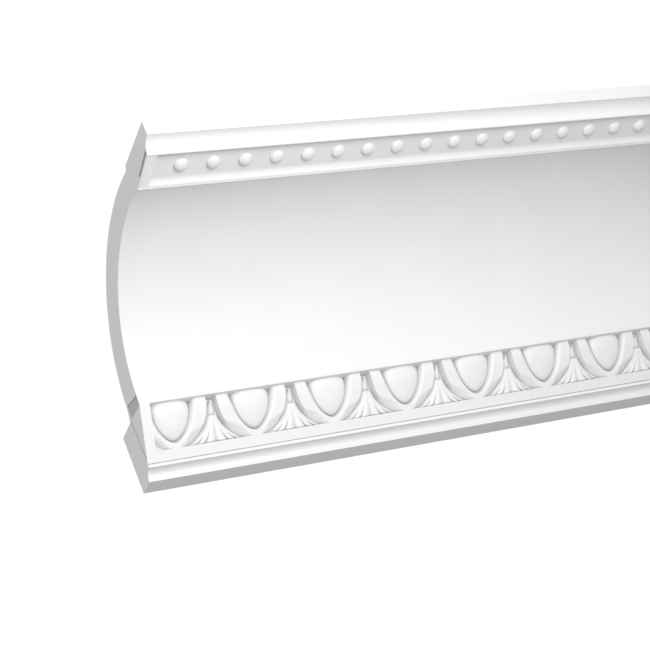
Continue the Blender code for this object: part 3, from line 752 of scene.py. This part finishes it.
def add_ends(builder, section):
    """The square-cut end faces with their pockets."""
    pockets = end_pockets()
    loops = [section] + [outline for outline, depth in pockets]
    points = [point for loop in loops for point in loop]
    flat = [[Vector((*point, 0.0)) for point in loop] for loop in loops]
    for along, inward in ((0.0, 1.0), (LENGTH, -1.0)):
        for triangle in tessellate_polygon(flat):
            builder.face([builder.corner(along, points[i]) for i in triangle])
        for outline, depth in pockets:
            rim = [builder.corner(along, point) for point in outline]
            floor = [builder.corner(along + inward * depth, point) for point in outline]
            # The pocket's floor and walls get the painted shade
            builder.face(floor, 1.0)
            for i, corner in enumerate(rim):
                builder.face([rim[i - 1], corner, floor[i], floor[i - 1]], 1.0)


def build_moulding():
    """The whole moulding as one closed mesh."""
    builder = Builder()
    add_relief(builder)
    soffit = add_bead_channel(builder)
    crown = crown_section()
    cove = cove_section()
    foot = foot_section()
    back = back_section()
    builder.run(crown)
    builder.run(cove[:-1] + [PANEL_TOP])
    builder.run([PANEL_BOTTOM] + foot)
    builder.run([foot[-1]] + back + [crown[0]])
    panel = [PANEL_TOP, panel_point(RECESS_TOP), panel_point(RECESS_TOP + RECESS_DROP), PANEL_BOTTOM]
    section = crown[:-1] + soffit + cove[1:-1] + panel + foot + back
    add_ends(builder, section)
    bmesh.ops.recalc_face_normals(builder.mesh, faces=builder.mesh.faces)
    mesh = bpy.data.meshes.new("cornice")
    builder.mesh.to_mesh(mesh)
    builder.mesh.free()
    mesh.shade_smooth()
    mesh.set_sharp_from_angle(angle=SHARP_ANGLE)
    return mesh


def white_finish():
    """Smooth factory-primed white: faint clouds, fine grain, painted shade in the grooves and a flat painted
    shade on the end pockets.
    """
    material = bpy.data.materials.new("primed_white")
    material.use_nodes = True
    nodes = material.node_tree.nodes
    links = material.node_tree.links
    shader = nodes["Principled BSDF"]
    shader.inputs["Metallic"].default_value = 0.0
    place = nodes.new("ShaderNodeTexCoord").outputs["Object"]

    cloud = nodes.new("ShaderNodeTexNoise")
    cloud.inputs["Scale"].default_value = CLOUD_SCALE
    cloud.inputs["Detail"].default_value = CLOUD_DETAIL
    links.new(place, cloud.inputs["Vector"])
    tone = nodes.new("ShaderNodeValToRGB")
    for element, position, value in zip(tone.color_ramp.elements, TONE_STOPS, TONES):
        element.position = position
        element.color = (value, value, value - WARMTH, 1.0)
    links.new(cloud.outputs["Fac"], tone.inputs["Fac"])

    # Painted shade: the base colour is darkened where ambient occlusion finds faces close by, in grooves and
    # recesses
    groove = nodes.new("ShaderNodeAmbientOcclusion")
    groove.samples = PAINTED_SHADE_SAMPLES
    groove.only_local = True
    groove.inputs["Distance"].default_value = PAINTED_SHADE_REACH
    shade = nodes.new("ShaderNodeMapRange")
    shade.inputs["From Min"].default_value = PAINTED_SHADE_DARKEST
    shade.inputs["From Max"].default_value = PAINTED_SHADE_OPEN
    shade.inputs["To Min"].default_value = PAINTED_SHADE_TONE
    links.new(groove.outputs["AO"], shade.inputs["Value"])
    mixed = nodes.new("ShaderNodeMix")
    mixed.data_type = "RGBA"
    mixed.blend_type = "MULTIPLY"
    mixed.inputs["Factor"].default_value = 1.0
    links.new(tone.outputs["Color"], mixed.inputs["A"])
    links.new(shade.outputs["Result"], mixed.inputs["B"])
    # Painted shade: faces marked in the end pockets are given a flat darker grey
    painted_pocket_shade = nodes.new("ShaderNodeAttribute")
    painted_pocket_shade.attribute_name = "painted_pocket_shade"
    painted_pocket_shade_mix = nodes.new("ShaderNodeMix")
    painted_pocket_shade_mix.data_type = "RGBA"
    painted_pocket_shade_mix.inputs["B"].default_value = (*[PAINTED_POCKET_SHADE_TONE] * 3, 1.0)
    links.new(painted_pocket_shade.outputs["Fac"], painted_pocket_shade_mix.inputs["Factor"])
    links.new(mixed.outputs["Result"], painted_pocket_shade_mix.inputs["A"])
    links.new(painted_pocket_shade_mix.outputs["Result"], shader.inputs["Base Color"])

    grain = nodes.new("ShaderNodeTexNoise")
    grain.inputs["Scale"].default_value = GRAIN_SCALE
    grain.inputs["Detail"].default_value = GRAIN_DETAIL
    links.new(place, grain.inputs["Vector"])
    gloss = nodes.new("ShaderNodeMapRange")
    gloss.inputs["To Min"].default_value = ROUGHNESS[0]
    gloss.inputs["To Max"].default_value = ROUGHNESS[1]
    links.new(grain.outputs["Fac"], gloss.inputs["Value"])
    links.new(gloss.outputs["Result"], shader.inputs["Roughness"])
    bump = nodes.new("ShaderNodeBump")
    bump.inputs["Strength"].default_value = GRAIN_STRENGTH
    bump.inputs["Distance"].default_value = GRAIN_HEIGHT
    links.new(grain.outputs["Fac"], bump.inputs["Height"])
    links.new(bump.outputs["Normal"], shader.inputs["Normal"])
    return material


def make_camera():
    """The photograph's viewpoint: below, to the left and turned a little on its own axis."""
    data = bpy.data.cameras.new("camera")
    data.sensor_width = SENSOR_WIDTH
    data.lens = LENS
    camera = bpy.data.objects.new("camera", data)
    camera.location = (CAMERA_ALONG - 0.5 * LENGTH, -CAMERA_OUT, -CAMERA_DOWN)
    camera.rotation_euler = [math.radians(angle) for angle in CAMERA_TURNS]
    bpy.context.scene.collection.objects.link(camera)
    bpy.context.scene.camera = camera


def make_key_light():
    """The one lamp, a soft disk that looks at the left part of the cove."""
    data = bpy.data.lights.new("key", "AREA")
    data.shape = "DISK"
    data.size = KEY_SIZE
    data.energy = KEY_POWER
    left = -0.5 * LENGTH
    place = Vector((left + KEY_ALONG, -KEY_OUT, -KEY_DOWN))
    aim = Vector((left + AIM_ALONG, -AIM_OUT, AIM_UP))
    light = bpy.data.objects.new("key", data)
    light.location = place
    light.rotation_euler = (aim - place).to_track_quat("-Z", "Y").to_euler()
    bpy.context.scene.collection.objects.link(light)


def make_surroundings():
    """Even white all round."""
    world = bpy.data.worlds.new("studio")
    bpy.context.scene.world = world
    world.use_nodes = True
    nodes = world.node_tree.nodes
    links = world.node_tree.links
    background = nodes["Background"]
    path = nodes.new("ShaderNodeLightPath")
    strength = nodes.new("ShaderNodeMapRange")
    strength.inputs["To Min"].default_value = AMBIENT
    strength.inputs["To Max"].default_value = BACKDROP
    links.new(path.outputs["Is Camera Ray"], strength.inputs["Value"])
    links.new(strength.outputs["Result"], background.inputs["Strength"])
    background.inputs["Color"].default_value = (1.0, 1.0, 1.0, 1.0)


def make_floor():
    """Plain pale floor, well below the moulding."""
    bpy.ops.mesh.primitive_plane_add(size=FLOOR_SIZE, location=(0.0, 0.0, -FLOOR_DOWN))
    floor = bpy.context.object
    floor.name = "floor"
    paint = bpy.data.materials.new("floor_paint")
    paint.use_nodes = True
    shader = paint.node_tree.nodes["Principled BSDF"]
    shader.inputs["Base Color"].default_value = (*[FLOOR_TONE] * 3, 1.0)
    shader.inputs["Roughness"].default_value = FLOOR_ROUGHNESS
    floor.data.materials.append(paint)


cornice = bpy.data.objects.new("cornice", build_moulding())
bpy.context.scene.collection.objects.link(cornice)
cornice.data.materials.append(white_finish())
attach(cornice, "root")
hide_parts("cornice_moulding")
make_camera()
make_surroundings()
make_key_light()
make_floor()
bpy.context.scene.view_settings.view_transform = "Standard"
